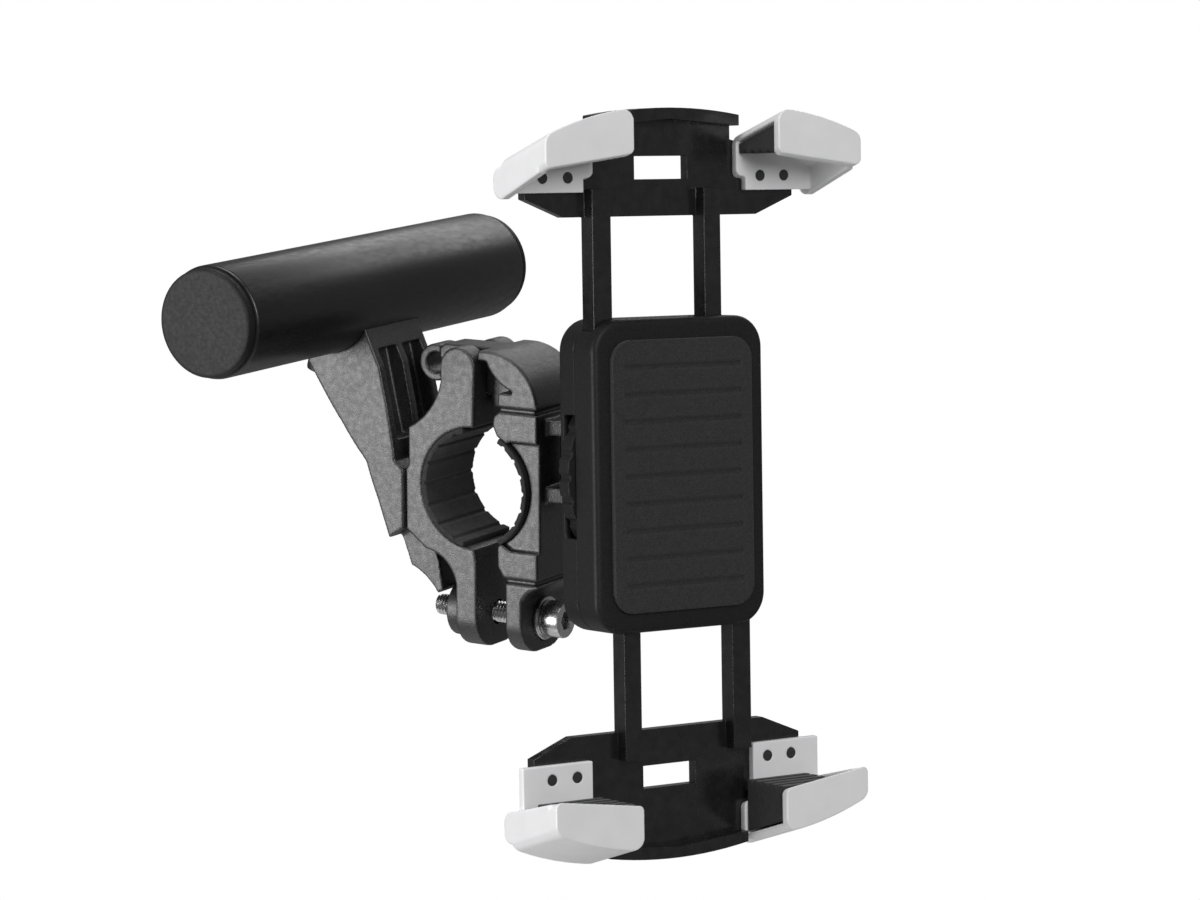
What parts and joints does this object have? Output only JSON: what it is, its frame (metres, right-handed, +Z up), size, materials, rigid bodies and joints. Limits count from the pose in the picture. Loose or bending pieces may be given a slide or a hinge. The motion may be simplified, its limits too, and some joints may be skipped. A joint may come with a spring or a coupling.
{
  "type": "phone mount",
  "caption": "Handlebar phone mount: hinged bar clamp with a rear accessory tube, and a swivelling, tilting, turning holder whose claws slide on bows to grip a phone.",
  "frame": {"origin": "centre of the handlebar clamp's bore", "axes": "+X along the handlebar to the rider's right, +Y forward away from the rider, +Z up"},
  "size_m": [0.1223, 0.1426, 0.1657],
  "materials": {
    "casting": "satin black powder coat, finely speckled",
    "tube": "matte black anodised aluminium",
    "black_plastic": "fine-grained moulded plastic",
    "gloss_black": "polished moulded plastic",
    "claw_white": "satin off-white moulded plastic",
    "rubber": "soft black rubber",
    "bright_steel": "bright zinc-plated steel",
    "black_steel": "black oxide steel"
  },
  "bodies": {
    "clamp": {"rear_jaw": "casting", "rear_jaw_liner": "rubber", "bar_bracket": "casting", "bracket_screws": "black_steel", "accessory_tube": "tube", "tube_cap_left": "black_plastic", "tube_cap_right": "black_plastic", "tube_screws": "black_steel", "tube_nut_plate": "black_steel", "hinge_pin": "bright_steel", "clamp_nut": "bright_steel"},
    "front_jaw": {"front_jaw": "casting", "front_jaw_liner": "rubber", "swivel_screw": "black_steel", "swivel_nut": "black_steel"},
    "bolt_washer": {"clamp_washer": "bright_steel"},
    "clamp_bolt": {"clamp_bolt": "bright_steel"},
    "swivel": {"swivel_block": "black_plastic", "tilt_screw": "black_steel", "tilt_nut": "black_steel"},
    "tilt_head": {"tilt_head": "black_plastic", "hub_washer": "bright_steel", "hub_screw": "bright_steel"},
    "holder": {"housing_front": "black_plastic", "housing_rear": "black_plastic", "phone_pad": "rubber", "housing_screws": "black_steel", "detent_spring": "bright_steel"},
    "dial": {"dial_wheel": "black_plastic"},
    "upper_jaw": {"upper_bow": "gloss_black", "upper_left_claw": "claw_white", "upper_right_claw": "claw_white", "upper_left_grip": "rubber", "upper_right_grip": "rubber", "upper_claw_screws": "black_steel"},
    "lower_jaw": {"lower_bow": "gloss_black", "lower_left_claw": "claw_white", "lower_right_claw": "claw_white", "lower_left_grip": "rubber", "lower_right_grip": "rubber", "lower_claw_screws": "black_steel"}
  },
  "joints": [
    {"name": "clamp_open", "type": "hinge", "parent": "clamp", "child": "front_jaw", "pos_m": [0, 0.0042, 0.0275], "axis": [-1, 0, 0], "range_deg": [0, 5.5]},
    {"name": "bolt_travel", "type": "slide", "parent": "clamp", "child": "bolt_washer", "axis": [0, -1, 0], "range_m": [0, 0.0063]},
    {"name": "bolt_spin", "type": "hinge", "parent": "bolt_washer", "child": "clamp_bolt", "pos_m": [0, 0, -0.0302], "axis": [0, 1, 0], "continuous": true},
    {"name": "holder_swivel", "type": "hinge", "parent": "front_jaw", "child": "swivel", "pos_m": [0, -0.0234, 0.0074], "axis": [0, 0, 1], "range_deg": [-20, 70]},
    {"name": "holder_tilt", "type": "hinge", "parent": "swivel", "child": "tilt_head", "pos_m": [-0.00528, -0.03473, 0.0074], "axis": [0.9063, -0.4226, 0], "range_deg": [-24, 26]},
    {"name": "holder_turn", "type": "hinge", "parent": "tilt_head", "child": "holder", "pos_m": [-0.01789, -0.06177, 0.01054], "axis": [0.4203, 0.9013, -0.1045], "continuous": true},
    {"name": "jaw_slide", "type": "slide", "parent": "holder", "child": "upper_jaw", "axis": [0.0915, 0.0725, 0.9932], "range_m": [-0.016, 0.012]},
    {"name": "lower_jaw_slide", "type": "slide", "parent": "holder", "child": "lower_jaw", "axis": [-0.0915, -0.0725, -0.9932], "range_m": [-0.016, 0.012]},
    {"name": "dial_turn", "type": "hinge", "parent": "holder", "child": "dial", "pos_m": [-0.01789, -0.06177, 0.01054], "axis": [0.4203, 0.9013, -0.1045], "range_deg": [-86.5, 115.2]}
  ],
  "couplings": [
    {"joint": "bolt_travel", "follows": "clamp_open", "m_per_rad": 0.0645},
    {"joint": "lower_jaw_slide", "follows": "jaw_slide", "ratio": 1},
    {"joint": "dial_turn", "follows": "jaw_slide", "rad_per_m": -125}
  ]
}
